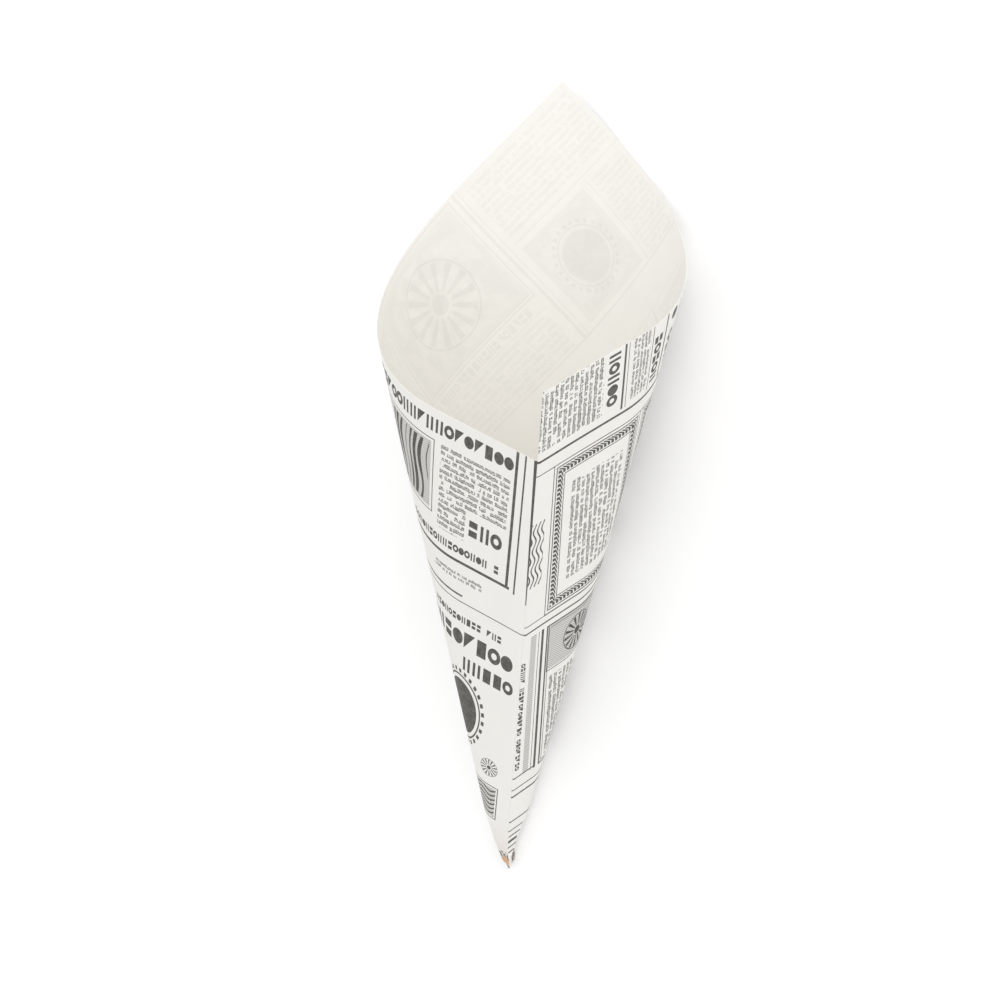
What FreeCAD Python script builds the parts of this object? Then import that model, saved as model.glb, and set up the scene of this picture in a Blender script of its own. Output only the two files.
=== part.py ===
import FreeCAD, Part
import math
import os

# A cone cup rolled from one sheet of paper, lying on its side as it comes to rest.
#
# One corner of the sheet is the tip of the cone, and the opposite corner is the pointed top of the
# mouth. The two edges that leave the tip meet at a sharp crease: the outer layer ends at the crease,
# and the inner layer laps behind it. Next to the crease the wall is flat, and the rest of it is
# round, apart from the small flat spot that the cone lies on.
#
# A place on the sheet is its distance from the tip corner and its angle from the side of a
# rectangle. The outer layer's edge is trimmed a little narrower than that side. All sizes are in
# millimetres and degrees.

ROUND_STEP = 9.0        # turn about the axis from one cross line of the round rim to the next
RIM_MARGIN = 3          # layers to each side of the wall that the cut along the rim takes in
CENTRE_STEPS = 360      # narrow wedges that the sheet is cut into to find its centre of mass

doc = FreeCAD.newDocument("PaperCone")
sizes = doc.addObject("Spreadsheet::Sheet", "Sizes")

driving_sizes = [
    ("sheet_width", 200.0, "short edge of the sheet, from the tip to the left end of the mouth"),
    ("sheet_length", 228.0, "long edge of the sheet, from the tip to the right end of the mouth"),
    ("paper_wall", 0.3, "thickness of one layer"),
    ("edge_trim", 4.0, "narrow wedge trimmed off the long edge, at the mouth"),
    ("lap_width", 3.5, "inner layer that laps behind the crease, at the end of the short edge"),
    ("flat_turn", 43.5, "turn about the axis that each flat wall takes, from the crease"),
    ("spot_turn", 10.0, "turn about the axis that the flat spot under the cone takes"),
    ("tip_hole", 4.6, "width of the small open end at the tip"),
]
for row, (alias, value, note) in enumerate(driving_sizes, start=1):
    sizes.set(f"A{row}", alias)
    sizes.set(f"B{row}", str(value))
    sizes.setAlias(f"B{row}", alias)
    sizes.set(f"C{row}", note)
doc.recompute()


wall = sizes.paper_wall
flat_turn = math.radians(sizes.flat_turn)
trim = math.atan(sizes.edge_trim / sizes.sheet_length)
lap = math.asin(sizes.lap_width / sizes.sheet_width)
once_round = math.pi / 2 - trim - lap     # angle of the sheet that goes once round the cone

# The half angle of the cone follows from the sheet: two flat walls and the round wall between
# them use up once_round. A flat wall that turns by flat_turn takes atan(sin(half angle) *
# tan(flat_turn)) of it, and a round wall takes its turn times sin(half angle).
sine = once_round / (2 * math.pi)
for _ in range(60):
    sine = (once_round / 2 - math.atan(sine * math.tan(flat_turn))) / (math.pi - flat_turn)
half_angle = math.asin(sine)
flat_angle = math.atan(sine * math.tan(flat_turn))
layer_rise = wall / math.sin(half_angle)   # the same cone this far up its axis is one wall inside
layer_slip = wall / math.tan(half_angle)   # what that takes off the distance to the tip
tip_height = sizes.tip_hole / 2 / math.tan(half_angle) + layer_rise
corner = math.atan2(sizes.sheet_width, sizes.sheet_length)


def reach(angle):
    """Distance from the tip to the rim of the sheet at this angle."""
    if angle < corner:
        return sizes.sheet_length / math.cos(angle)
    return sizes.sheet_width / math.sin(angle)


def round_ray(turn):
    """Direction from the tip along a circular cone, at this turn from the crease."""
    across = math.sin(half_angle)
    return FreeCAD.Vector(across * math.sin(turn), -across * math.cos(turn), math.cos(half_angle))


def flat_ray(start, end, share):
    """Direction from the tip on the flat wall from start to end, at this share of its angle."""
    angle = start.getAngle(end)
    return (start * math.sin((1 - share) * angle) + end * math.sin(share * angle)) / math.sin(angle)


crease_lean = math.atan(math.tan(half_angle) / math.cos(flat_turn))
crease = FreeCAD.Vector(0, -math.sin(crease_lean), math.cos(crease_lean))
right_flat_end = round_ray(flat_turn)
left_flat_start = round_ray(-flat_turn)


def turn_at(angle):
    """Turn about the axis, from the crease, where this angle of the sheet lies on the round wall."""
    return flat_turn + (angle - trim - flat_angle) / sine


def angle_at(turn):
    """Angle of the sheet that lies at this turn about the axis on the round wall."""
    return trim + flat_angle + (turn - flat_turn) * sine


def plain_ray(angle):
    """Direction from the tip at this angle of the sheet, before it has a flat spot."""
    around = (angle - trim) % once_round
    if around < flat_angle:
        return flat_ray(crease, right_flat_end, around / flat_angle)
    if around > once_round - flat_angle:
        return flat_ray(left_flat_start, crease, 1 - (once_round - around) / flat_angle)
    return round_ray(turn_at(around + trim))


def heavy_turn():
    """Turn about the axis where the centre of mass lies, which is the side that ends up below."""
    moment = FreeCAD.Vector()
    for step in range(CENTRE_STEPS):
        angle = trim + (step + 0.5) / CENTRE_STEPS * (math.pi / 2 - trim)
        moment += plain_ray(angle) * reach(angle) ** 3
    return math.atan2(moment.x, -moment.y)


spot_middle = heavy_turn()
spot_half = math.radians(sizes.spot_turn) / 2
spot_start = angle_at(spot_middle - spot_half)
spot_end = angle_at(spot_middle + spot_half)


def ray(angle):
    """Direction from the tip at this angle of the sheet."""
    if spot_start < angle < spot_end:
        share = (angle - spot_start) / (spot_end - spot_start)
        return flat_ray(plain_ray(spot_start), plain_ray(spot_end), share)
    return plain_ray(angle)


def place(direction, distance, layer):
    """Point at a distance from the tip: layer 0 is the outside of the cone and 1 is one wall inside."""
    return FreeCAD.Vector(0, 0, layer * layer_rise) + direction * (distance - layer * layer_slip)


def place_at_height(direction, height, layer):
    """Point on the same line at a height up the axis."""
    above = height - layer * layer_rise
    return FreeCAD.Vector(0, 0, layer * layer_rise) + direction * (above / direction.z)


def closed(corners):
    """Closed wire through these corners."""
    return Part.makePolygon(corners + corners[:1])


def section(height, layer):
    """Outline of the cone across its axis: two flat walls, two arcs and the flat spot between them."""
    turns = [flat_turn, spot_middle - spot_half, spot_middle + spot_half, 2 * math.pi - flat_turn]
    points = [place_at_height(round_ray(turn), height, layer) for turn in turns]
    front = place_at_height(crease, height, layer)
    edges = [Part.LineSegment(front, points[0]).toShape()]
    for index in (0, 2):
        middle = place_at_height(round_ray((turns[index] + turns[index + 1]) / 2), height, layer)
        edges.append(Part.Arc(points[index], middle, points[index + 1]).toShape())
    edges.insert(2, Part.LineSegment(points[1], points[2]).toShape())
    edges.append(Part.LineSegment(points[3], front).toShape())
    return Part.Wire(edges)


def is_straight(edge):
    """True if an edge is as long as the distance between its ends."""
    start, end = edge.Vertexes[0].Point, edge.Vertexes[-1].Point
    return abs(edge.Length - start.distanceToPoint(end)) < 1e-6


def with_planes(loft):
    """The same solid with its flat sides as true planes, such as the flat spot that it rests on."""
    faces = []
    for face in loft.Faces:
        if all(is_straight(edge) for edge in face.Edges):
            face = Part.Face(closed([vertex.Point for vertex in face.OuterWire.OrderedVertexes]))
        faces.append(face)
    shell = Part.makeShell(faces)
    shell.sewShape()
    return Part.makeSolid(shell)


def full_cone(layer):
    """Solid cone out to a layer's outer face, with a level top above the whole sheet."""
    top = reach(corner) + wall
    return with_planes(Part.makeLoft([section(tip_height, layer), section(top, layer)], True, True))


def beyond_rim(start, end):
    """What lies beyond the rim of the sheet between two of its angles, to be cut away."""
    turn = math.degrees((end - start) / sine)
    count = max(1, math.ceil(turn / ROUND_STEP))
    far = 2 * reach(corner)
    lines = []
    for step in range(count + 1):
        angle = start + (end - start) * step / count
        ends = [(reach(angle), -RIM_MARGIN), (far, -RIM_MARGIN), (far, RIM_MARGIN), (reach(angle), RIM_MARGIN)]
        lines.append(closed([place(ray(angle), distance, layer) for distance, layer in ends]))
    return Part.makeLoft(lines, True, count == 1)


def along_wall(towards):
    """Step across a strip's edge, along the flat wall that runs from the crease towards here."""
    across = towards - crease * towards.dot(crease)
    across.normalize()
    fold = 2 * math.asin(math.cos(half_angle) * math.sin(flat_turn))
    return across * (wall / math.sin(fold))


def inner_lap():
    """Strip of the inner layer from its edge to the crease, where it ends flush with the left wall."""
    edge = flat_ray(crease, right_flat_end, lap / flat_angle)
    edge_line = closed([
        place_at_height(edge, tip_height, 1),
        place(edge, reach(math.pi / 2), 1),
        place(edge, reach(math.pi / 2), 2),
        place_at_height(edge, tip_height, 2),
    ])
    near = place_at_height(crease, tip_height, 1)
    far = place(crease, reach(math.pi / 2 - lap), 1)
    back = along_wall(left_flat_start)
    return Part.makeLoft([edge_line, closed([near, far, far + back, near + back])], True, True)


def rolled_sheet():
    """Solids of the whole sheet, standing on its tip with the crease in front: there is one."""
    left_crease = math.pi / 2 - lap
    ends = sorted([trim, trim + flat_angle, spot_start, spot_end, corner, left_crease - flat_angle, left_crease])
    wall_all_round = full_cone(0).cut(full_cone(1))
    wall_all_round = wall_all_round.cut([beyond_rim(start, end) for start, end in zip(ends, ends[1:])])
    return wall_all_round.fuse(inner_lap()).removeSplitter().Solids


solids = rolled_sheet()
if len(solids) != 1:
    raise RuntimeError(f"the rolled sheet has {len(solids)} solids")
cone = doc.addObject("Part::Feature", "PaperConeSheet")
cone.Label = "paper_cone"
cone.Shape = solids[0]

# The heavy side turns down and the axis tips over until the flat spot lies on the ground, with the
# mouth towards +Y. The origin is below the middle of the cone.
spot_lean = math.atan(math.tan(half_angle) * math.cos(spot_half))
roll = FreeCAD.Rotation(FreeCAD.Vector(0, 0, 1), 180 - math.degrees(spot_middle))
tip_over = FreeCAD.Rotation(FreeCAD.Vector(1, 0, 0), math.degrees(spot_lean) - 90)
cone.Placement = FreeCAD.Placement(FreeCAD.Vector(), tip_over * roll)
box = cone.Shape.optimalBoundingBox(False)
middle = FreeCAD.Vector((box.XMin + box.XMax) / 2, (box.YMin + box.YMax) / 2, 0)
cone.Placement = FreeCAD.Placement(-middle, tip_over * roll)

doc.recompute()
os.makedirs("parts", exist_ok=True)
for thing in doc.Objects:
    if "Invalid" in thing.State or "Error" in thing.State:
        raise RuntimeError(f"{thing.Label} did not compute: {thing.State}")
if cone.Shape.isNull() or not cone.Shape.isValid():
    raise RuntimeError("the rolled sheet is not a valid solid")
cone.Shape.exportStep(f"parts/{cone.Label}.step")

print(f"half angle {math.degrees(half_angle):.2f} deg, flat spot at {math.degrees(spot_middle):.1f} deg")
print(f"volume {cone.Shape.Volume:.1f} mm3, faces {len(cone.Shape.Faces)}, box {box}")
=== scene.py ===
import math

import bmesh
import bpy
from mathutils import Matrix, Vector, noise


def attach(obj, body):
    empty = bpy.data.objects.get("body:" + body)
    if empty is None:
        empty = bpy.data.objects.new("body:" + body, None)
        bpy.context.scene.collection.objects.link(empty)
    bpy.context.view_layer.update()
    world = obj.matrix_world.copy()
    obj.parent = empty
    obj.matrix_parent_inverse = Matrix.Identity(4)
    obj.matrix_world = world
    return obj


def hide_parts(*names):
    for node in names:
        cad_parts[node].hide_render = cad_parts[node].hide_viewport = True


# A cone cup rolled from one printed sheet of greaseproof paper. The CAD solid gives its form and
# place, and the thin printed sheet made here stands for it. Metres, and degrees where it says so.

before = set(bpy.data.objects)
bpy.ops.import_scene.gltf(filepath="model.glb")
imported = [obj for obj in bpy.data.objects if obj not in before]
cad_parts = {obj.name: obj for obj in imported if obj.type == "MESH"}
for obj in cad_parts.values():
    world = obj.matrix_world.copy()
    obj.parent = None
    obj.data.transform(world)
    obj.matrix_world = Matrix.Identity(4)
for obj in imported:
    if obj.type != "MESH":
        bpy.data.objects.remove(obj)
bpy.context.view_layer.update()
print("frame loaded")


# how the flat sheet is rolled, as in the part's source

sheet = {
    "width": 0.200,         # short edge, from the tip corner to the left end of the mouth
    "length": 0.228,        # long edge, from the tip corner to the right end of the mouth
    "wall": 0.0003,         # one layer of the CAD solid
    "edgeTrim": 0.004,      # narrow wedge trimmed off the long edge, at the mouth
    "lapWidth": 0.0035,     # inner layer that laps behind the crease
    "flatTurn": 43.5,       # degrees round the axis that each flat wall takes
    "spotTurn": 10.0,       # degrees round the axis that the flat spot takes
    "tipHole": 0.0046,      # open end at the tip
    "tipPlace": (0.0010281, -0.1558229, 0.0),   # where the walls would meet, in the row frame
}

trim = math.atan(sheet["edgeTrim"] / sheet["length"])
lap = math.asin(sheet["lapWidth"] / sheet["width"])
onceRound = math.pi / 2 - trim - lap
flatTurn = math.radians(sheet["flatTurn"])
sine = onceRound / (2 * math.pi)
for _ in range(60):
    sine = (onceRound / 2 - math.atan(sine * math.tan(flatTurn))) / (math.pi - flatTurn)
halfAngle = math.asin(sine)
flatAngle = math.atan(sine * math.tan(flatTurn))
tipHeight = sheet["tipHole"] / 2 / math.tan(halfAngle) + sheet["wall"] / math.sin(halfAngle)
corner = math.atan2(sheet["width"], sheet["length"])
leftCrease = math.pi / 2 - lap


def reach(angle):
    # from the tip corner to the rim of the sheet
    if angle < corner:
        return sheet["length"] / math.cos(angle)
    return sheet["width"] / math.sin(angle)


def roundRay(turn):
    across = math.sin(halfAngle)
    return Vector((across * math.sin(turn), -across * math.cos(turn), math.cos(halfAngle)))


def flatRay(start, end, share):
    angle = start.angle(end)
    return (start * math.sin((1 - share) * angle) + end * math.sin(share * angle)) / math.sin(angle)


creaseLean = math.atan(math.tan(halfAngle) / math.cos(flatTurn))
crease = Vector((0, -math.sin(creaseLean), math.cos(creaseLean)))
rightFlatEnd = roundRay(flatTurn)
leftFlatStart = roundRay(-flatTurn)


def plainRay(angle):
    around = (angle - trim) % onceRound
    if around < flatAngle:
        return flatRay(crease, rightFlatEnd, around / flatAngle)
    if around > onceRound - flatAngle:
        return flatRay(leftFlatStart, crease, 1 - (onceRound - around) / flatAngle)
    return roundRay(flatTurn + (around - flatAngle) / sine)


# the heavy side of the rolled sheet is the side that it lies on
moment = Vector()
for step in range(360):
    stepAngle = trim + (step + 0.5) / 360 * (math.pi / 2 - trim)
    moment += plainRay(stepAngle) * reach(stepAngle) ** 3
spotMiddle = math.atan2(moment.x, -moment.y)
spotHalf = math.radians(sheet["spotTurn"]) / 2
spotStart = trim + flatAngle + (spotMiddle - spotHalf - flatTurn) * sine
spotEnd = trim + flatAngle + (spotMiddle + spotHalf - flatTurn) * sine


def ray(angle):
    if spotStart < angle < spotEnd:
        share = (angle - spotStart) / (spotEnd - spotStart)
        return flatRay(plainRay(spotStart), plainRay(spotEnd), share)
    return plainRay(angle)


spotLean = math.atan(math.tan(halfAngle) * math.cos(spotHalf))
rollOver = Matrix.Rotation(math.pi - spotMiddle, 4, "Z")
tipOver = Matrix.Rotation(spotLean - math.pi / 2, 4, "X")
toRow = Matrix.Translation(sheet["tipPlace"]) @ tipOver @ rollOver
print("roll worked out, spot at", round(math.degrees(spotMiddle), 2))


# the paper

paper = {
    "thickness": 0.00014,
    "sunk": 0.00006,        # outer face, this far inside the CAD solid's
    "lapDrop": 0.00018,     # the inner lap lies this far behind
    "lapStart": -0.0022,    # the wall starts to go behind this far before the crease
    "lapEnd": -0.0002,
    "foldRadius": 0.0017,   # of the crease
    "foldStart": 0.0004,    # the same at the tip
    "foldGrowth": 0.022,    # of it for each metre from the tip
    "tipSqueeze": 0.28,     # the last of the tip is rolled narrower by this share
    "squeezeReach": (0.037, 0.014),     # from no squeeze to the whole of it, from the tip corner
    "tipBend": 0.0016,      # and bends a little to the right
    "bendReach": (0.024, 0.011),
    "tipUneven": 0.0009,    # most that the cut end wanders
    "tipShorter": 0.0032,   # the end is shorter by this away from the crease
    "sag": 0.0005,          # most that the paper waves inwards, at the rim
    "sagSize": 0.045,
    "sagShift": (3.1, 7.4, 0.6),
    "columnStep": 0.62,     # degrees of the sheet
    "rows": 112,
    "rowCrowding": 1.12,    # above 1, the rows are closer together at the tip
    "foldOffsets": (0.05, 0.1, 0.16, 0.22, 0.29, 0.37, 0.46, 0.56, 0.72, 0.9, 1.15, 1.5, 1.9, 2.4, 3.0),
}


def foldRadius(distance):
    return min(paper["foldRadius"], paper["foldStart"] + paper["foldGrowth"] * distance)


sideRight = (rightFlatEnd - crease * rightFlatEnd.dot(crease)).normalized()
sideLeft = (leftFlatStart - crease * leftFlatStart.dot(crease)).normalized()
inward = (sideRight + sideLeft).normalized()
sideways = (sideRight - sideLeft).normalized()
foldTurn = math.pi - sideRight.angle(sideLeft)


def wallPoint(distance, angle):
    # outside of the CAD cone, with the crease rounded
    nearest = trim if angle < math.pi / 4 else leftCrease
    beside = distance * math.sin(angle - nearest)
    radius = foldRadius(distance)
    tangent = radius * math.tan(foldTurn / 2)
    if abs(beside) >= tangent:
        return ray(angle) * distance
    bend = beside / tangent * foldTurn / 2
    along = crease * (distance * math.cos(angle - nearest))
    centre = along + inward * (radius / math.cos(foldTurn / 2))
    return centre + sideways * (radius * math.sin(bend)) - inward * (radius * math.cos(bend))


def smoothStep(low, high, value):
    share = min(1, max(0, (value - low) / (high - low)))
    return share * share * (3 - 2 * share)


def depthAt(distance, angle):
    # the lap and the last of the left wall go behind the edge of the right one
    if angle < math.pi / 4:
        return paper["sunk"]
    beside = distance * math.sin(angle - leftCrease)
    return paper["sunk"] + paper["lapDrop"] * smoothStep(paper["lapStart"], paper["lapEnd"], beside)


def sagAt(distance, angle):
    # soft waves, none on the flat spot, at the crease and at the tip
    spot = smoothStep(0.0, 0.16, abs(angle - (spotStart + spotEnd) / 2) - (spotEnd - spotStart) / 2)
    fold = smoothStep(0.0, 0.10, min(abs(angle - trim), abs(angle - leftCrease)))
    outwards = smoothStep(0.02, 0.20, distance)
    place = Vector((distance * math.cos(angle), distance * math.sin(angle), 0)) / paper["sagSize"]
    wave = 0.5 + 0.5 * noise.noise(place + Vector(paper["sagShift"]))
    return paper["sag"] * spot * fold * outwards * wave


def paperPoint(distance, angle):
    step = 0.0002
    point = wallPoint(distance, angle)
    alongWall = wallPoint(distance + step, angle) - wallPoint(distance - step, angle)
    turn = step / distance
    acrossWall = wallPoint(distance, angle + turn) - wallPoint(distance, angle - turn)
    outwards = alongWall.cross(acrossWall).normalized()
    if outwards.dot(Vector((point.x, point.y + 1e-4, 0))) < 0:
        outwards.negate()
    point = point - outwards * (depthAt(distance, angle) + sagAt(distance, angle))
    narrower = 1 - paper["tipSqueeze"] * smoothStep(*paper["squeezeReach"], distance)
    bent = paper["tipBend"] * smoothStep(*paper["bendReach"], distance)
    return Vector((point.x * narrower + bent, point.y * narrower, point.z))


def tipDistance(angle):
    # the open end at the tip is cut a little unevenly, and longest at the crease
    uneven = paper["tipUneven"] * (0.5 + noise.noise(Vector((angle * 9, 1.7, 0))))
    shorter = paper["tipShorter"] * smoothStep(0.02, 0.3, angle) * smoothStep(1.56, 1.2, angle)
    return tipHeight / ray(angle).z + max(0, uneven) + shorter


def columnAngles():
    stops = sorted([
        trim, trim + flatAngle, spotStart, spotEnd, corner, leftCrease - flatAngle, leftCrease, math.pi / 2,
    ])
    angles = []
    for start, end in zip(stops, stops[1:]):
        count = max(1, math.ceil(math.degrees(end - start) / paper["columnStep"]))
        angles += [start + (end - start) * step / count for step in range(count)]
    angles.append(math.pi / 2)
    # finer columns where the paper bends round the crease
    for middle in (trim, leftCrease):
        for offset in paper["foldOffsets"]:
            for side in (-1, 1):
                angle = middle + side * math.radians(offset)
                nearest = min(abs(angle - other) for other in angles)
                if trim < angle < math.pi / 2 and nearest > math.radians(0.02):
                    angles.append(angle)
    return sorted(angles)


def rolledPaper():
    angles = columnAngles()
    columns, rows = len(angles) - 1, paper["rows"]
    mesh = bmesh.new()
    place = mesh.loops.layers.uv.new("sheetPlace")
    bmesh.ops.create_grid(mesh, x_segments=columns, y_segments=rows, size=0.5)
    flat = {}
    for vert in mesh.verts:
        angle = angles[round((vert.co.x + 0.5) * columns)]
        share = round((vert.co.y + 0.5) * rows) / rows
        nearTip = tipDistance(angle)
        distance = nearTip + (reach(angle) - nearTip) * share ** paper["rowCrowding"]
        flat[vert] = (distance * math.cos(angle), distance * math.sin(angle))
        vert.co = toRow @ paperPoint(distance, angle)
    for face in mesh.faces:
        for loop in face.loops:
            loop[place].uv = flat[loop.vert]
        face.smooth = True
    # the faces point outwards
    axisPoint = toRow @ Vector((0, 0, 0.15))
    mesh.faces.ensure_lookup_table()
    middle = mesh.faces[len(mesh.faces) // 2]
    if middle.normal.dot(middle.calc_center_median() - axisPoint) < 0:
        bmesh.ops.reverse_faces(mesh, faces=mesh.faces[:])
    data = bpy.data.meshes.new("paperSheet")
    mesh.to_mesh(data)
    mesh.free()
    piece = bpy.data.objects.new("paperSheet", data)
    bpy.context.scene.collection.objects.link(piece)
    return piece


paperSheet = rolledPaper()
print("paper rolled,", len(paperSheet.data.polygons), "faces")


# node helpers

def put(tree, socket, value):
    if isinstance(value, bpy.types.NodeSocket):
        tree.links.new(value, socket)
    else:
        socket.default_value = value


def calc(tree, operation, *values, clamp=False):
    node = tree.nodes.new("ShaderNodeMath")
    node.operation = operation
    node.use_clamp = clamp
    for socket, value in zip(node.inputs, values):
        put(tree, socket, value)
    return node.outputs[0]


def vectorCalc(tree, operation, *values):
    node = tree.nodes.new("ShaderNodeVectorMath")
    node.operation = operation
    for socket, value in zip(node.inputs, values):
        put(tree, socket, value)
    return node.outputs["Vector"]


def scaled(tree, vector, amount):
    node = tree.nodes.new("ShaderNodeVectorMath")
    node.operation = "SCALE"
    put(tree, node.inputs[0], vector)
    put(tree, node.inputs["Scale"], amount)
    return node.outputs["Vector"]


def parts(tree, vector):
    node = tree.nodes.new("ShaderNodeSeparateXYZ")
    put(tree, node.inputs[0], vector)
    return node.outputs[0], node.outputs[1]


def joined(tree, x, y, z=0.0):
    node = tree.nodes.new("ShaderNodeCombineXYZ")
    for socket, value in zip(node.inputs, (x, y, z)):
        put(tree, socket, value)
    return node.outputs[0]


def speckle(tree, x, y):
    # one random value for each pair of whole numbers
    key = calc(tree, "ADD", x, calc(tree, "MULTIPLY", y, 157.31))
    node = tree.nodes.new("ShaderNodeTexWhiteNoise")
    node.noise_dimensions = "1D"
    put(tree, node.inputs["W"], key)
    return node.outputs["Value"]


def radiusOf(tree, x, y):
    squares = [calc(tree, "MULTIPLY", side, side) for side in (x, y)]
    return calc(tree, "SQRT", calc(tree, "ADD", *squares))


def clouds(tree, place, scale, detail=2.0, roughness=0.5):
    node = tree.nodes.new("ShaderNodeTexNoise")
    put(tree, node.inputs["Vector"], place)
    node.inputs["Scale"].default_value = scale
    node.inputs["Detail"].default_value = detail
    node.inputs["Roughness"].default_value = roughness
    return node.outputs["Fac"]


def mapped(tree, value, low, high, toLow=0.0, toHigh=1.0, smooth=False):
    node = tree.nodes.new("ShaderNodeMapRange")
    node.interpolation_type = "SMOOTHSTEP" if smooth else "LINEAR"
    for socket, number in zip(node.inputs[:5], (value, low, high, toLow, toHigh)):
        put(tree, socket, number)
    return node.outputs[0]


def mixed(tree, share, first, second, blend="MIX"):
    node = tree.nodes.new("ShaderNodeMix")
    node.data_type = "RGBA"
    node.blend_type = blend
    colours = [socket for socket in node.inputs if socket.type == "RGBA"]
    put(tree, node.inputs[0], share)
    put(tree, colours[0], first)
    put(tree, colours[1], second)
    return [socket for socket in node.outputs if socket.type == "RGBA"][0]


def newGroup(name, inputs, outputs):
    tree = bpy.data.node_groups.new(name, "ShaderNodeTree")
    for label, kind in inputs:
        tree.interface.new_socket(label, in_out="INPUT", socket_type="NodeSocket" + kind)
    for label, kind in outputs:
        tree.interface.new_socket(label, in_out="OUTPUT", socket_type="NodeSocket" + kind)
    return tree, tree.nodes.new("NodeGroupInput").outputs, tree.nodes.new("NodeGroupOutput").inputs


def floats(*labels):
    return [(label, "Float") for label in labels]


def useGroup(tree, group, **values):
    node = tree.nodes.new("ShaderNodeGroup")
    node.node_tree = group
    for label, value in values.items():
        put(tree, node.inputs[label], value)
    return node.outputs


def both(tree, *masks):
    value = masks[0]
    for mask in masks[1:]:
        value = calc(tree, "MULTIPLY", value, mask)
    return value


def either(tree, *masks):
    value = masks[0]
    for mask in masks[1:]:
        value = calc(tree, "MAXIMUM", value, mask)
    return value


def above(tree, value, limit):
    return calc(tree, "GREATER_THAN", value, limit)


def below(tree, value, limit):
    return calc(tree, "LESS_THAN", value, limit)


def between(tree, value, low, high):
    return calc(tree, "COMPARE", value, (low + high) / 2, (high - low) / 2)


# the print, in millimetres of the flat sheet: s along the long edge, t along the short one

printStyle = {
    "pitch": 2.5,           # from one row of small marks to the next
    "mark": 0.96,           # width of one small mark
    "finePitch": 1.85,
    "fineMark": 0.72,
}


def boxDepthGroup():
    # how deep a place is inside one box, below 0 outside it
    places = floats("S", "T", "MiddleS", "MiddleT", "HalfS", "HalfT")
    tree, given, result = newGroup("boxDepth", places, floats("Depth"))
    depths = []
    for side in ("S", "T"):
        offset = calc(tree, "ABSOLUTE", calc(tree, "SUBTRACT", given[side], given["Middle" + side]))
        depths.append(calc(tree, "SUBTRACT", given["Half" + side], offset))
    put(tree, result["Depth"], calc(tree, "MINIMUM", *depths))
    return tree


def smallMarksGroup():
    # rows of marks like small print seen from a step away: stems and bars, with gaps between groups
    tree, given, result = newGroup("smallMarks", floats("S", "T", "Pitch", "Mark"), floats("Ink"))
    rowPlace = calc(tree, "DIVIDE", given["T"], given["Pitch"])
    row = calc(tree, "FLOOR", rowPlace)
    height = calc(tree, "SUBTRACT", calc(tree, "SUBTRACT", rowPlace, row), 0.44)
    place = calc(tree, "DIVIDE", given["S"], given["Mark"])
    along = calc(tree, "ADD", place, calc(tree, "MULTIPLY", row, 0.37))
    chance = speckle(tree, calc(tree, "FLOOR", along), row)
    half = calc(tree, "MULTIPLY", along, 2.0)
    stem = calc(tree, "FLOOR", half)
    stemChance = speckle(tree, calc(tree, "ADD", stem, 71.0), row)
    across = calc(tree, "SUBTRACT", half, stem)
    stems = both(tree, below(tree, across, 0.52), above(tree, stemChance, 0.1))
    body = below(tree, calc(tree, "ABSOLUTE", height), 0.25)
    topBar = both(tree, above(tree, height, 0.12), above(tree, stemChance, 0.45))
    footBar = both(tree, below(tree, height, -0.12), below(tree, stemChance, 0.7))
    tall = both(tree, between(tree, height, 0.2, 0.42), above(tree, chance, 0.68))
    deep = both(tree, between(tree, height, -0.40, -0.2), below(tree, chance, 0.34))
    plain = both(tree, body, either(tree, stems, topBar, footBar))
    long = both(tree, stems, either(tree, tall, deep))
    put(tree, result["Ink"], both(tree, either(tree, plain, long), above(tree, chance, 0.16)))
    return tree


def shapeRowGroup():
    # one bold row of blocks, bars, rings, discs and wedges
    values = floats("S", "T", "MiddleT", "HalfT", "Depth", "Seed")
    tree, given, result = newGroup("shapeRow", values, floats("Ink"))
    x = calc(tree, "DIVIDE", given["S"], calc(tree, "MULTIPLY", given["HalfT"], 1.35))
    y = calc(tree, "DIVIDE", calc(tree, "SUBTRACT", given["T"], given["MiddleT"]), given["HalfT"])
    cell = calc(tree, "FLOOR", x)
    across = calc(tree, "MULTIPLY", calc(tree, "SUBTRACT", calc(tree, "SUBTRACT", x, cell), 0.5), 2.0)
    chance = speckle(tree, cell, given["Seed"])
    levelX, levelY = calc(tree, "ABSOLUTE", across), calc(tree, "ABSOLUTE", y)
    block = both(tree, below(tree, levelX, 0.72), below(tree, levelY, 0.9))
    slit = both(tree, block, above(tree, levelX, 0.24))
    halves = both(tree, block, above(tree, levelY, 0.16))
    radius = radiusOf(tree, calc(tree, "MULTIPLY", across, 0.84), y)
    ring = between(tree, radius, 0.36, 0.84)
    disc = below(tree, radius, 0.8)
    slope = above(tree, calc(tree, "ADD", across, y), 0.0)
    wedge = both(tree, below(tree, levelX, 0.84), below(tree, levelY, 0.9), slope)
    ink = either(
        tree,
        both(tree, block, between(tree, chance, 0.08, 0.2)),
        both(tree, slit, between(tree, chance, 0.2, 0.44)),
        both(tree, halves, between(tree, chance, 0.44, 0.6)),
        both(tree, ring, between(tree, chance, 0.6, 0.8)),
        both(tree, disc, between(tree, chance, 0.8, 0.88)),
        both(tree, wedge, above(tree, chance, 0.88)),
    )
    put(tree, result["Ink"], both(tree, ink, above(tree, given["Depth"], 0.0)))
    return tree


boxDepth = boxDepthGroup()
smallMarks = smallMarksGroup()
shapeRow = shapeRowGroup()

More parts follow.
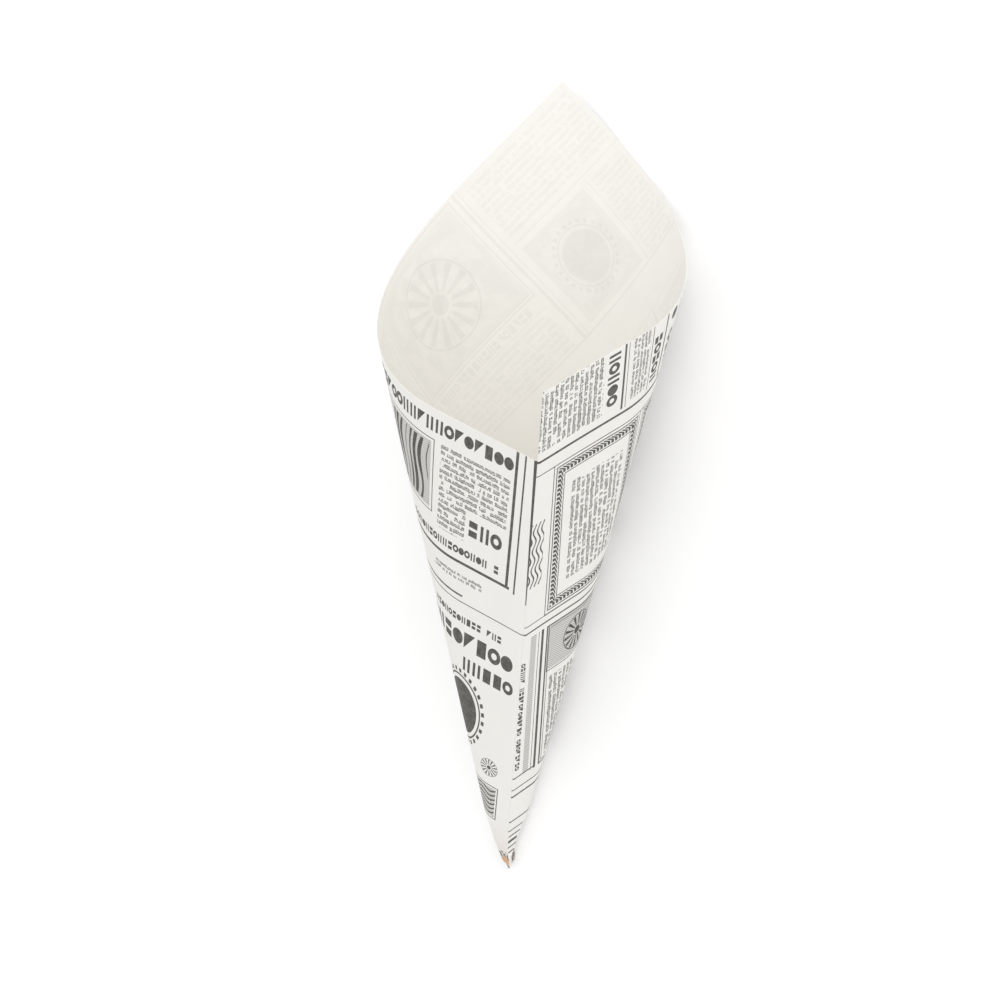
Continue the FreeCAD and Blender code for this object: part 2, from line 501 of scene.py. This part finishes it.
# where each kind of mark lies: a box is lowest s, highest s, lowest t, highest t
layout = {
    "smallMarks": [
        (203, 228, 1, 35.5), (139, 182, 22.5, 50), (59, 97, 17.5, 42.5),            # right wall
        (14, 44, 165.5, 187), (31.5, 44, 151.5, 165.5),                             # left wall
        (210, 226, 127.5, 167.5), (174, 226, 172.5, 197.5), (84, 164, 127.5, 144.5),    # back
        (139, 182, 76, 101), (96, 119, 56, 87.5), (202, 226, 84, 108), (62, 92, 103.5, 125),
    ],
    "fineMarks": [
        (203, 228, 49.6, 59.6), (22, 46, 133, 137), (78, 107, 153.6, 194.3), (96, 119, 92.5, 108),
        (30, 56, 42.6, 51.8),
    ],
    "shapeRow": [
        (13, 92, 190.2, 196.6), (15.5, 61.5, 144.6, 148.4), (15.2, 30.3, 154.5, 162),
        (11.5, 45.9, 115.4, 118.8), (5.7, 54, 104.2, 112.6), (4.8, 28.3, 94.2, 101.2),
        (205, 227.2, 37, 43.6), (202.6, 226.7, 62, 68), (58.6, 111.5, 1.6, 4.4),
        (203.2, 226.7, 74, 81), (88.1, 161, 146.5, 150.6), (141.8, 178.8, 69, 74), (61.5, 89.7, 83, 90),
    ],
    "solid": [
        (11.2, 12.4, 141, 200), (8.0, 8.7, 140.2, 200), (10.5, 84, 141, 142.2),     # left wall
        (0, 60, 124.5, 124.9), (30, 66, 127, 127.8),
        (198.7, 199.7, 0, 110), (193.2, 193.6, 0, 110), (127.8, 128.2, 0, 110),     # right wall
        (124.3, 125, 0, 56), (51.0, 51.5, 0, 22), (47.6, 48.4, 0, 22), (35.2, 35.8, 0, 16),
        (30.4, 31, 0, 9), (27.2, 27.9, 1, 8), (24, 25.4, 1, 6.5), (21.4, 22, 0.8, 7), (19, 19.6, 0.8, 5),
        (56, 122, 10.4, 10.7), (56, 122, 11.9, 13.1), (201, 228, 45.3, 46.3), (201, 228, 47.5, 47.8),
        (201, 228, 60.6, 61.0), (201, 228, 70, 71), (56.6, 57.2, 1, 13),
        (168.0, 169.2, 126, 200), (170.6, 171.0, 126, 200), (208.4, 208.8, 127, 169),   # back
        (173, 228, 169.8, 170.2), (84, 166, 145.5, 145.8), (84, 228, 126.2, 126.9),
        (124, 228, 110.4, 110.8),
    ],
    "tone": [
        (57, 122, 6.2, 9.2), (101, 121, 16.5, 48), (174, 206, 129, 167), (110, 164, 153, 197),
        (48.5, 76, 157, 186), (60, 90.5, 92, 98.5), (8, 19.5, 34, 47.5),
    ],
    "doubleFrame": [(108, 166, 151.5, 199), (57, 93.5, 56.5, 101.5), (56, 122, 14.6, 50)],
    "thinFrame": [
        (47, 77.4, 155.6, 187.4), (100, 122, 15.6, 49), (94.6, 120.4, 54.5, 109), (7, 20.5, 33, 48.5),
    ],
    "ropeFrame": [(128, 193.6, 12.5, 59), (128, 193.6, 61, 108.5)],
    "waves": [(145, 173, 2.6, 9.4), (8, 19.5, 34, 47.5)],
    "folds": [(49.5, 75, 158, 185)],
    "oval": [(28.5, 76, 12, 17), (190, 148, 12, 14), (75.5, 70, 9, 8)],     # centre s, t and half size
    "fan": [(110.5, 32, 8), (137, 175, 17), (12, 56.5, 4)],                 # centre s, t and radius
    "blots": [(176, 204, 131, 165), (112, 162, 155, 195)],
}


def depthIn(tree, s, t, box):
    s0, s1, t0, t1 = box
    return useGroup(tree, boxDepth, S=s, T=t, MiddleS=(s0 + s1) / 2, MiddleT=(t0 + t1) / 2,
                    HalfS=(s1 - s0) / 2, HalfT=(t1 - t0) / 2)["Depth"]


def deepestIn(tree, s, t, boxes):
    # how deep a place is in any of these boxes, below 0 outside them all
    deepest = -1000.0
    for box in boxes:
        deepest = calc(tree, "MAXIMUM", depthIn(tree, s, t, box), deepest)
    return deepest


def newsPrintAndEdgeShadowGroup():
    # each kind of mark is added to the ink as soon as it is made, which keeps the shader small
    tree, given, result = newGroup("newsPrintAndEdgeShadow", [("Place", "Vector")], floats("Ink", "Tone", "Field"))
    s, t = parts(tree, given["Place"])

    style = printStyle
    rows = useGroup(tree, smallMarks, S=s, T=t, Pitch=style["pitch"], Mark=style["mark"])["Ink"]
    ink = both(tree, rows, above(tree, deepestIn(tree, s, t, layout["smallMarks"]), 0))
    rows = useGroup(tree, smallMarks, S=s, T=t, Pitch=style["finePitch"], Mark=style["fineMark"])["Ink"]
    ink = either(tree, ink, both(tree, rows, above(tree, deepestIn(tree, s, t, layout["fineMarks"]), 0)))
    ink = either(tree, ink, above(tree, deepestIn(tree, s, t, layout["solid"]), 0))
    # a dark line that widens upwards beside the crease, at the end of the left wall: partly a printed rule,
    # partly painted shadow of the right wall's edge
    fromFold = calc(tree, "SUBTRACT", s, calc(tree, "MULTIPLY", t, math.tan(lap)))
    widest = mapped(tree, t, 138, 200, 0.5, 1.5)
    inside = above(tree, calc(tree, "SUBTRACT", widest, fromFold), 0)
    ink = either(tree, ink, both(tree, above(tree, t, 138), above(tree, fromFold, -0.5), inside))

    for index, box in enumerate(layout["shapeRow"]):
        low, high = box[2:]
        shapes = useGroup(tree, shapeRow, S=s, T=t, MiddleT=(low + high) / 2, HalfT=(high - low) / 2,
                          Depth=depthIn(tree, s, t, box), Seed=index * 3.0 + 1)
        ink = either(tree, ink, shapes["Ink"])

    depth = deepestIn(tree, s, t, layout["doubleFrame"])
    ink = either(tree, ink, between(tree, depth, 0, 0.75), between(tree, depth, 1.45, 1.75))
    ink = either(tree, ink, between(tree, deepestIn(tree, s, t, layout["thinFrame"]), 0, 0.4))

    depth = deepestIn(tree, s, t, layout["ropeFrame"])
    for low, high in ((0, 0.4), (1.4, 1.9), (5.7, 6.1)):
        ink = either(tree, ink, between(tree, depth, low, high))
    slant = calc(tree, "DIVIDE", calc(tree, "ADD", s, t), 1.9)
    arch = calc(tree, "ABSOLUTE", calc(tree, "SUBTRACT", depth, 3.8))
    strand = calc(tree, "FRACT", calc(tree, "ADD", slant, calc(tree, "MULTIPLY", arch, 0.5)))
    ink = either(tree, ink, both(tree, between(tree, depth, 2.4, 5.2), below(tree, strand, 0.7)))

    ripple = calc(tree, "SINE", calc(tree, "MULTIPLY", s, 0.75))
    waved = calc(tree, "ADD", t, calc(tree, "MULTIPLY", ripple, 0.8))
    wave = below(tree, calc(tree, "FRACT", calc(tree, "DIVIDE", waved, 2.1)), 0.34)
    ink = either(tree, ink, both(tree, wave, above(tree, deepestIn(tree, s, t, layout["waves"]), 0)))

    swing = calc(tree, "SINE", calc(tree, "MULTIPLY", t, 0.24))
    bent = calc(tree, "ADD", calc(tree, "DIVIDE", s, 3.3), calc(tree, "MULTIPLY", swing, 0.3))
    fold = calc(tree, "FRACT", bent)
    width = mapped(tree, calc(tree, "SINE", calc(tree, "MULTIPLY", s, 0.47)), -1, 1, 0.14, 0.66)
    folds = calc(tree, "LESS_THAN", fold, width)
    ink = either(tree, ink, both(tree, folds, above(tree, deepestIn(tree, s, t, layout["folds"]), 0)))

    for s0, t0, halfS, halfT in layout["oval"]:
        x = calc(tree, "DIVIDE", calc(tree, "SUBTRACT", s, s0), halfS)
        y = calc(tree, "DIVIDE", calc(tree, "SUBTRACT", t, t0), halfT)
        size = radiusOf(tree, x, y)
        ink = either(tree, ink, below(tree, size, 0.74), between(tree, size, 0.84, 0.89))
        spoke = calc(tree, "SINE", calc(tree, "MULTIPLY", calc(tree, "ARCTAN2", y, x), 26.0))
        ink = either(tree, ink, both(tree, between(tree, size, 0.93, 1.04), above(tree, spoke, 0.1)))
    for s0, t0, radius in layout["fan"]:
        x = calc(tree, "DIVIDE", calc(tree, "SUBTRACT", s, s0), radius)
        y = calc(tree, "DIVIDE", calc(tree, "SUBTRACT", t, t0), radius)
        size = radiusOf(tree, x, y)
        ink = either(tree, ink, below(tree, size, 0.22), between(tree, size, 0.95, 1.0))
        spoke = calc(tree, "SINE", calc(tree, "MULTIPLY", calc(tree, "ARCTAN2", y, x), 14.0))
        ink = either(tree, ink, both(tree, between(tree, size, 0.3, 0.92), above(tree, spoke, 0.25)))

    # grey fields of fine dots
    toneField = above(tree, deepestIn(tree, s, t, layout["tone"]), 0)
    dots = both(tree, *[
        mapped(tree, calc(tree, "SINE", calc(tree, "MULTIPLY", calc(tree, operation, s, t), 6.2)), -1, 1)
        for operation in ("ADD", "SUBTRACT")
    ])
    blots = mapped(tree, clouds(tree, given["Place"], 0.11, 3.0, 0.6), 0.42, 0.56, 0.45, 1.5)
    inBlots = above(tree, deepestIn(tree, s, t, layout["blots"]), 0)
    strength = mapped(tree, inBlots, 0, 1, 1.0, blots)
    put(tree, result["Tone"], both(tree, toneField, mapped(tree, dots, 0.12, 0.3, 0.3, 1.0), strength))
    put(tree, result["Field"], both(tree, toneField, strength))

    # the ink lies a little unevenly on the paper
    uneven = mapped(tree, clouds(tree, given["Place"], 0.5, 3.0, 0.6), 0.3, 0.7, 0.9, 1.0)
    broken = mapped(tree, clouds(tree, given["Place"], 2.6, 2.0, 0.6), 0.28, 0.38, 0.7, 1.0)
    put(tree, result["Ink"], both(tree, ink, uneven, broken))
    return tree


newsPrintAndEdgeShadow = newsPrintAndEdgeShadowGroup()
print("print laid out")


# paper materials

finish = {
    "paper": (0.905, 0.890, 0.852, 1),
    "inside": (0.905, 0.886, 0.842, 1),
    "edge": (0.93, 0.92, 0.89, 1),
    "ink": (0.052, 0.048, 0.040, 1),
    "inkCover": 0.985,
    "toneCover": 0.62,
    "through": (0.50, 0.49, 0.45, 1),       # print seen through the paper
    "throughInk": 0.14,
    "throughTone": 0.10,
    "roughness": 0.62,
    "grain": 0.022,         # most that the colour varies
    "bump": 0.25,
    "bumpDepth": 0.0004,
}

# the stained tip
stain = {
    "tint": (0.84, 0.75, 0.70, 1),
    "tan": (0.66, 0.37, 0.19, 1),
    "stroke": (0.075, 0.058, 0.05, 1),
    "tintShare": 0.6,
    "tanShare": 0.85,
    "strokeShare": 0.85,
}


def paperGrainGroup():
    # cloudy formation, short fibres and a slight cockle
    tree, given, result = newGroup("paperGrain", [("Place", "Vector")], floats("Shade", "Height", "Roughness"))
    place = given["Place"]
    formation = clouds(tree, place, 0.11, 4.0, 0.55)
    stretched = vectorCalc(tree, "MULTIPLY", place, (0.35, 1.6, 1.0))
    fibres = clouds(tree, stretched, 1.1, 3.0, 0.65)
    crossed = clouds(tree, vectorCalc(tree, "MULTIPLY", place, (1.5, 0.4, 1.0)), 1.0, 3.0, 0.65)
    cockle = clouds(tree, place, 0.045, 2.0, 0.5)
    fibre = calc(tree, "MULTIPLY", calc(tree, "ADD", fibres, crossed), 0.5)
    cloudy = mapped(tree, formation, 0.3, 0.7, -0.5, 0.5)
    shade = calc(tree, "ADD", cloudy, mapped(tree, fibre, 0.35, 0.65, -0.4, 0.4))
    put(tree, result["Shade"], calc(tree, "ADD", 1.0, calc(tree, "MULTIPLY", shade, finish["grain"])))
    put(tree, result["Height"], calc(tree, "ADD", calc(tree, "MULTIPLY", fibre, 0.12), cockle))
    put(tree, result["Roughness"], mapped(tree, fibre, 0.3, 0.7, -0.05, 0.05))
    return tree


paperGrain = paperGrainGroup()


def startMaterial(name):
    material = bpy.data.materials.new(name)
    material.use_nodes = True
    tree = material.node_tree
    tree.nodes.clear()
    shader = tree.nodes.new("ShaderNodeBsdfPrincipled")
    output = tree.nodes.new("ShaderNodeOutputMaterial")
    tree.links.new(shader.outputs[0], output.inputs[0])
    uvMap = tree.nodes.new("ShaderNodeUVMap")
    uvMap.uv_map = "sheetPlace"
    return material, tree, shader, scaled(tree, uvMap.outputs[0], 1000.0)


def finishPaper(tree, shader, place, colour, strength):
    grain = useGroup(tree, paperGrain, Place=place)
    shade = joined(tree, grain["Shade"], grain["Shade"], grain["Shade"])
    put(tree, shader.inputs["Base Color"], mixed(tree, 1.0, colour, shade, "MULTIPLY"))
    put(tree, shader.inputs["Roughness"], calc(tree, "ADD", finish["roughness"], grain["Roughness"]))
    shader.inputs["Specular IOR Level"].default_value = 0.3
    bump = tree.nodes.new("ShaderNodeBump")
    bump.inputs["Strength"].default_value = strength
    bump.inputs["Distance"].default_value = finish["bumpDepth"]
    put(tree, bump.inputs["Height"], grain["Height"])
    put(tree, shader.inputs["Normal"], bump.outputs[0])


def printedPaper():
    material, tree, shader, place = startMaterial("printedPaper")
    news = useGroup(tree, newsPrintAndEdgeShadow, Place=place)
    grey = calc(tree, "MULTIPLY", news["Tone"], finish["toneCover"])
    colour = mixed(tree, grey, finish["paper"], finish["ink"])
    colour = mixed(tree, calc(tree, "MULTIPLY", news["Ink"], finish["inkCover"]), colour, finish["ink"])

    # the tip is stained: a pale pink tint, then a tan patch between dark, torn strokes
    s, t = parts(tree, place)
    wander = mapped(tree, clouds(tree, place, 0.5, 3.0, 0.6), 0.3, 0.7, -1.6, 1.6)
    fromTip = calc(tree, "ADD", radiusOf(tree, s, t), wander)
    angle = calc(tree, "ARCTAN2", t, s)
    torn = clouds(tree, place, 0.9, 2.0)
    leftWall = above(tree, angle, 0.9)
    tint = both(tree, leftWall, mapped(tree, fromTip, 18, 33, stain["tintShare"], 0.0, smooth=True))
    colour = mixed(tree, tint, colour, stain["tint"])
    tan = both(
        tree,
        mapped(tree, fromTip, 16.4, 17.4, stain["tanShare"], 0.0),
        mapped(tree, fromTip, 12.6, 13.6),
        mapped(tree, angle, 0.9, 1.15, 0.25, 1.0),
    )
    colour = mixed(tree, tan, colour, stain["tan"])
    edgeStroke = between(tree, angle, 0.16, 0.34)
    strokes = either(
        tree,
        both(tree, leftWall, between(tree, fromTip, 16.6, 18.6), above(tree, torn, 0.44)),
        both(tree, between(tree, angle, 0.95, 1.18), below(tree, fromTip, 20.5), above(tree, torn, 0.44)),
        both(tree, edgeStroke, between(tree, fromTip, 13.5, 18.5), above(tree, torn, 0.42)),
        both(tree, leftWall, below(tree, fromTip, 12.8)),
    )
    colour = mixed(tree, calc(tree, "MULTIPLY", strokes, stain["strokeShare"]), colour, stain["stroke"])
    finishPaper(tree, shader, place, colour, finish["bump"])
    return material


def plainInside():
    material, tree, shader, place = startMaterial("paperInside")
    news = useGroup(tree, newsPrintAndEdgeShadow, Place=place)
    grey = calc(tree, "MULTIPLY", news["Field"], finish["throughTone"])
    colour = mixed(tree, grey, finish["inside"], finish["through"])
    colour = mixed(tree, calc(tree, "MULTIPLY", news["Ink"], finish["throughInk"]), colour, finish["through"])
    finishPaper(tree, shader, place, colour, finish["bump"])
    return material


def cutEdge():
    material, tree, shader, place = startMaterial("paperEdge")
    finishPaper(tree, shader, place, finish["edge"], 0.1)
    return material


for material in (printedPaper(), plainInside(), cutEdge()):
    paperSheet.data.materials.append(material)


def thicken(piece):
    # the wall goes inwards, and its inside and edge take their own materials
    solid = piece.modifiers.new("thickness", "SOLIDIFY")
    solid.thickness = paper["thickness"]
    solid.offset = -1
    solid.use_even_offset = True
    solid.use_rim = True
    solid.material_offset = 1
    solid.material_offset_rim = 2
    evaluated = piece.evaluated_get(bpy.context.evaluated_depsgraph_get())
    shape = bpy.data.meshes.new_from_object(evaluated)
    piece.modifiers.clear()
    piece.data = shape
    shape.set_sharp_from_angle(angle=math.radians(50))
    shape.name = piece.name


thicken(paperSheet)
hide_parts("paper_cone")
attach(paperSheet, "root")
print("paper finished,", len(paperSheet.data.polygons), "faces")


# floor, light and camera

studio = {
    "floorSize": 6.0,
    "floorColour": (0.95, 0.95, 0.95, 1),
    "floorLift": 0.12,          # makes the floor white to the camera, and adds no light to the object
    "skyStrength": 0.90,
    "lampPlace": (0.6, 1.5, 1.1),
    "lampSize": 1.2,
    "lampPower": 10.3,
    "lampAim": (0, 0, 0.04),
    "floorDrop": 0.0001,        # the floor lies this far below the part
}


def floorPlane():
    mesh = bmesh.new()
    bmesh.ops.create_grid(mesh, x_segments=1, y_segments=1, size=studio["floorSize"] / 2)
    data = bpy.data.meshes.new("floor")
    mesh.to_mesh(data)
    mesh.free()
    data.transform(Matrix.Translation((0, 0, -studio["floorDrop"])))
    floor = bpy.data.objects.new("floor", data)
    bpy.context.scene.collection.objects.link(floor)
    material = bpy.data.materials.new("paleFloor")
    material.use_nodes = True
    shader = material.node_tree.nodes["Principled BSDF"]
    shader.inputs["Base Color"].default_value = studio["floorColour"]
    shader.inputs["Emission Color"].default_value = (1, 1, 1, 1)
    path = material.node_tree.nodes.new("ShaderNodeLightPath")
    lift = calc(material.node_tree, "MULTIPLY", path.outputs["Is Camera Ray"], studio["floorLift"])
    put(material.node_tree, shader.inputs["Emission Strength"], lift)
    shader.inputs["Roughness"].default_value = 0.9
    shader.inputs["Specular IOR Level"].default_value = 0.1
    data.materials.append(material)


def softLamp(name, place, size, power):
    lamp = bpy.data.lights.new(name, "AREA")
    lamp.size = size
    lamp.energy = power
    holder = bpy.data.objects.new(name, lamp)
    bpy.context.scene.collection.objects.link(holder)
    holder.location = place
    towards = Vector(studio["lampAim"]) - Vector(place)
    holder.rotation_euler = towards.to_track_quat("-Z", "Y").to_euler()


def paleWorld():
    # white to the camera, and a plain soft light on the object
    world = bpy.data.worlds.new("studioSky")
    bpy.context.scene.world = world
    world.use_nodes = True
    tree = world.node_tree
    light = tree.nodes["Background"]
    light.inputs["Color"].default_value = (1, 1, 1, 1)
    light.inputs["Strength"].default_value = studio["skyStrength"]
    seen = tree.nodes.new("ShaderNodeBackground")
    seen.inputs["Color"].default_value = (1, 1, 1, 1)
    seen.inputs["Strength"].default_value = 1.0
    path = tree.nodes.new("ShaderNodeLightPath")
    blend = tree.nodes.new("ShaderNodeMixShader")
    tree.links.new(path.outputs["Is Camera Ray"], blend.inputs[0])
    tree.links.new(light.outputs[0], blend.inputs[1])
    tree.links.new(seen.outputs[0], blend.inputs[2])
    tree.links.new(blend.outputs[0], tree.nodes["World Output"].inputs["Surface"])


floorPlane()
softLamp("lamp", studio["lampPlace"], studio["lampSize"], studio["lampPower"])
paleWorld()

# the photo's camera, given for the cone standing on its tip with the crease in front
viewPoint = {
    "aim": (-0.00592, 0.0, 0.15587),
    "elevation": 18.489,    # degrees above the level of the tip
    "yaw": -5.812,          # degrees round the cone's axis
    "roll": 1.737,
    "distance": 1.0,
    "lens": 100.48,
    "sensor": 36.0,
}


def makeCamera():
    elevation, yaw, roll = (math.radians(viewPoint[key]) for key in ("elevation", "yaw", "roll"))
    level = math.cos(elevation)
    back = Vector((math.sin(yaw) * level, -math.cos(yaw) * level, math.sin(elevation)))
    right = (-back).cross(Vector((0, 0, 1))).normalized()
    up = right.cross(-back)
    turned = right * math.cos(roll) + up * math.sin(roll)
    upright = up * math.cos(roll) - right * math.sin(roll)
    place = Matrix((turned, upright, back)).transposed().to_4x4()
    place.translation = Vector(viewPoint["aim"]) + back * viewPoint["distance"]
    camera = bpy.data.cameras.new("camera")
    camera.lens = viewPoint["lens"]
    camera.sensor_width = viewPoint["sensor"]
    holder = bpy.data.objects.new("camera", camera)
    bpy.context.scene.collection.objects.link(holder)
    holder.matrix_world = toRow @ place
    bpy.context.scene.camera = holder


makeCamera()
bpy.context.scene.view_settings.view_transform = "Standard"
print("studio ready")

bpy.context.view_layer.update()
